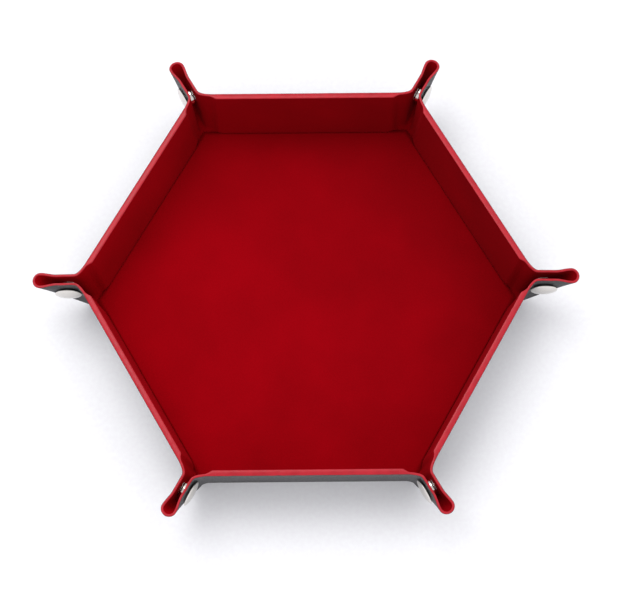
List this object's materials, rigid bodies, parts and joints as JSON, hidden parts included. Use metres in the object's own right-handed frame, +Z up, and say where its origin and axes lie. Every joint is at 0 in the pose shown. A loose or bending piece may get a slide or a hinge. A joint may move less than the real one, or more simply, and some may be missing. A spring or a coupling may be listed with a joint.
{
  "type": "folding dice tray",
  "caption": "Hexagonal folding dice tray: velvet-lined leather panels stiffened with board, with pinched corners held by press snaps; unsnapped, it folds out flat.",
  "frame": {"origin": "middle of the underside, on the surface that the tray stands on", "axes": "+Z up out of the tray; +X through two opposite ears, +Y square to the wall between two ears"},
  "size_m": [0.2502, 0.2178, 0.0366],
  "materials": {
    "velvet": "short-pile red velvet",
    "leather": "black embossed synthetic leather",
    "board": "grey chipboard",
    "snap": "polished nickel plate"
  },
  "bodies": {
    "base": {"floor_cover": "leather", "floor_board": "board", "floor_lining": "velvet"},
    "wall_1": {"wall_1_cover": "leather", "wall_1_board": "board", "wall_1_lining": "velvet"},
    "wall_2": {"wall_2_cover": "leather", "wall_2_board": "board", "wall_2_lining": "velvet"},
    "wall_3": {"wall_3_cover": "leather", "wall_3_board": "board", "wall_3_lining": "velvet"},
    "wall_4": {"wall_4_cover": "leather", "wall_4_board": "board", "wall_4_lining": "velvet"},
    "wall_5": {"wall_5_cover": "leather", "wall_5_board": "board", "wall_5_lining": "velvet"},
    "wall_6": {"wall_6_cover": "leather", "wall_6_board": "board", "wall_6_lining": "velvet"},
    "flap_1_right": {"flap_1_right": "leather", "snap_1_stud": "snap", "snap_1_post": "snap"},
    "flap_6_left": {"flap_6_left": "leather", "snap_1_cap": "snap", "snap_1_socket": "snap"},
    "flap_2_right": {"flap_2_right": "leather", "snap_2_stud": "snap", "snap_2_post": "snap"},
    "flap_1_left": {"flap_1_left": "leather", "snap_2_cap": "snap", "snap_2_socket": "snap"},
    "flap_3_right": {"flap_3_right": "leather", "snap_3_cap": "snap", "snap_3_socket": "snap"},
    "flap_2_left": {"flap_2_left": "leather", "snap_3_stud": "snap", "snap_3_post": "snap"},
    "flap_4_right": {"flap_4_right": "leather", "snap_4_cap": "snap", "snap_4_socket": "snap"},
    "flap_3_left": {"flap_3_left": "leather", "snap_4_stud": "snap", "snap_4_post": "snap"},
    "flap_5_right": {"flap_5_right": "leather", "snap_5_cap": "snap", "snap_5_socket": "snap"},
    "flap_4_left": {"flap_4_left": "leather", "snap_5_stud": "snap", "snap_5_post": "snap"},
    "flap_6_right": {"flap_6_right": "leather", "snap_6_stud": "snap", "snap_6_post": "snap"},
    "flap_5_left": {"flap_5_left": "leather", "snap_6_cap": "snap", "snap_6_socket": "snap"}
  },
  "joints": [
    {"name": "wall_1_fold", "type": "hinge", "parent": "base", "child": "wall_1", "pos_m": [0.07664, 0.04425, 0.00055], "axis": [-0.5, 0.866, 0], "range_deg": [0, 84.5]},
    {"name": "wall_2_fold", "type": "hinge", "parent": "base", "child": "wall_2", "pos_m": [0, 0.0885, 0.00055], "axis": [-1, 0, 0], "range_deg": [0, 84.5]},
    {"name": "wall_3_fold", "type": "hinge", "parent": "base", "child": "wall_3", "pos_m": [-0.07664, 0.04425, 0.00055], "axis": [-0.5, -0.866, 0], "range_deg": [0, 84.5]},
    {"name": "wall_4_fold", "type": "hinge", "parent": "base", "child": "wall_4", "pos_m": [-0.07664, -0.04425, 0.00055], "axis": [0.5, -0.866, 0], "range_deg": [0, 84.5]},
    {"name": "wall_5_fold", "type": "hinge", "parent": "base", "child": "wall_5", "pos_m": [0, -0.0885, 0.00055], "axis": [1, 0, 0], "range_deg": [0, 84.5]},
    {"name": "wall_6_fold", "type": "hinge", "parent": "base", "child": "wall_6", "pos_m": [0.07664, -0.04425, 0.00055], "axis": [0.5, 0.866, 0], "range_deg": [0, 84.5]},
    {"name": "flap_1_right_fold", "type": "hinge", "parent": "wall_1", "child": "flap_1_right", "pos_m": [0.10095, 0.00215, 0.00055], "axis": [-0.1105, 0, -0.9939], "range_deg": [0, 60.2]},
    {"name": "flap_6_left_fold", "type": "hinge", "parent": "wall_6", "child": "flap_6_left", "pos_m": [0.10095, -0.00215, 0.00055], "axis": [0.1105, 0, 0.9939], "range_deg": [0, 60.2]},
    {"name": "flap_2_right_fold", "type": "hinge", "parent": "wall_2", "child": "flap_2_right", "pos_m": [0.04861, 0.0885, 0.00055], "axis": [-0.0553, -0.0957, -0.9939], "range_deg": [0, 60.2]},
    {"name": "flap_1_left_fold", "type": "hinge", "parent": "wall_1", "child": "flap_1_left", "pos_m": [0.05234, 0.08635, 0.00055], "axis": [0.0553, 0.0957, 0.9939], "range_deg": [0, 60.2]},
    {"name": "flap_3_right_fold", "type": "hinge", "parent": "wall_3", "child": "flap_3_right", "pos_m": [-0.05234, 0.08635, 0.00055], "axis": [0.0553, -0.0957, -0.9939], "range_deg": [0, 60.2]},
    {"name": "flap_2_left_fold", "type": "hinge", "parent": "wall_2", "child": "flap_2_left", "pos_m": [-0.04861, 0.0885, 0.00055], "axis": [-0.0553, 0.0957, 0.9939], "range_deg": [0, 60.2]},
    {"name": "flap_4_right_fold", "type": "hinge", "parent": "wall_4", "child": "flap_4_right", "pos_m": [-0.10095, -0.00215, 0.00055], "axis": [0.1105, 0, -0.9939], "range_deg": [0, 60.2]},
    {"name": "flap_3_left_fold", "type": "hinge", "parent": "wall_3", "child": "flap_3_left", "pos_m": [-0.10095, 0.00215, 0.00055], "axis": [-0.1105, 0, 0.9939], "range_deg": [0, 60.2]},
    {"name": "flap_5_right_fold", "type": "hinge", "parent": "wall_5", "child": "flap_5_right", "pos_m": [-0.04861, -0.0885, 0.00055], "axis": [0.0553, 0.0957, -0.9939], "range_deg": [0, 60.2]},
    {"name": "flap_4_left_fold", "type": "hinge", "parent": "wall_4", "child": "flap_4_left", "pos_m": [-0.05234, -0.08635, 0.00055], "axis": [-0.0553, -0.0957, 0.9939], "range_deg": [0, 60.2]},
    {"name": "flap_6_right_fold", "type": "hinge", "parent": "wall_6", "child": "flap_6_right", "pos_m": [0.05234, -0.08635, 0.00055], "axis": [-0.0553, 0.0957, -0.9939], "range_deg": [0, 60.2]},
    {"name": "flap_5_left_fold", "type": "hinge", "parent": "wall_5", "child": "flap_5_left", "pos_m": [0.04861, -0.0885, 0.00055], "axis": [0.0553, -0.0957, 0.9939], "range_deg": [0, 60.2]}
  ],
  "couplings": [
    {"joint": "wall_2_fold", "follows": "wall_1_fold", "ratio": 1},
    {"joint": "wall_3_fold", "follows": "wall_1_fold", "ratio": 1},
    {"joint": "wall_4_fold", "follows": "wall_1_fold", "ratio": 1},
    {"joint": "wall_5_fold", "follows": "wall_1_fold", "ratio": 1},
    {"joint": "wall_6_fold", "follows": "wall_1_fold", "ratio": 1},
    {"joint": "flap_1_right_fold", "follows": "wall_1_fold", "ratio": 0.71186},
    {"joint": "flap_6_left_fold", "follows": "wall_1_fold", "ratio": 0.71186},
    {"joint": "flap_2_right_fold", "follows": "wall_1_fold", "ratio": 0.71186},
    {"joint": "flap_1_left_fold", "follows": "wall_1_fold", "ratio": 0.71186},
    {"joint": "flap_3_right_fold", "follows": "wall_1_fold", "ratio": 0.71186},
    {"joint": "flap_2_left_fold", "follows": "wall_1_fold", "ratio": 0.71186},
    {"joint": "flap_4_right_fold", "follows": "wall_1_fold", "ratio": 0.71186},
    {"joint": "flap_3_left_fold", "follows": "wall_1_fold", "ratio": 0.71186},
    {"joint": "flap_5_right_fold", "follows": "wall_1_fold", "ratio": 0.71186},
    {"joint": "flap_4_left_fold", "follows": "wall_1_fold", "ratio": 0.71186},
    {"joint": "flap_6_right_fold", "follows": "wall_1_fold", "ratio": 0.71186},
    {"joint": "flap_5_left_fold", "follows": "wall_1_fold", "ratio": 0.71186}
  ]
}
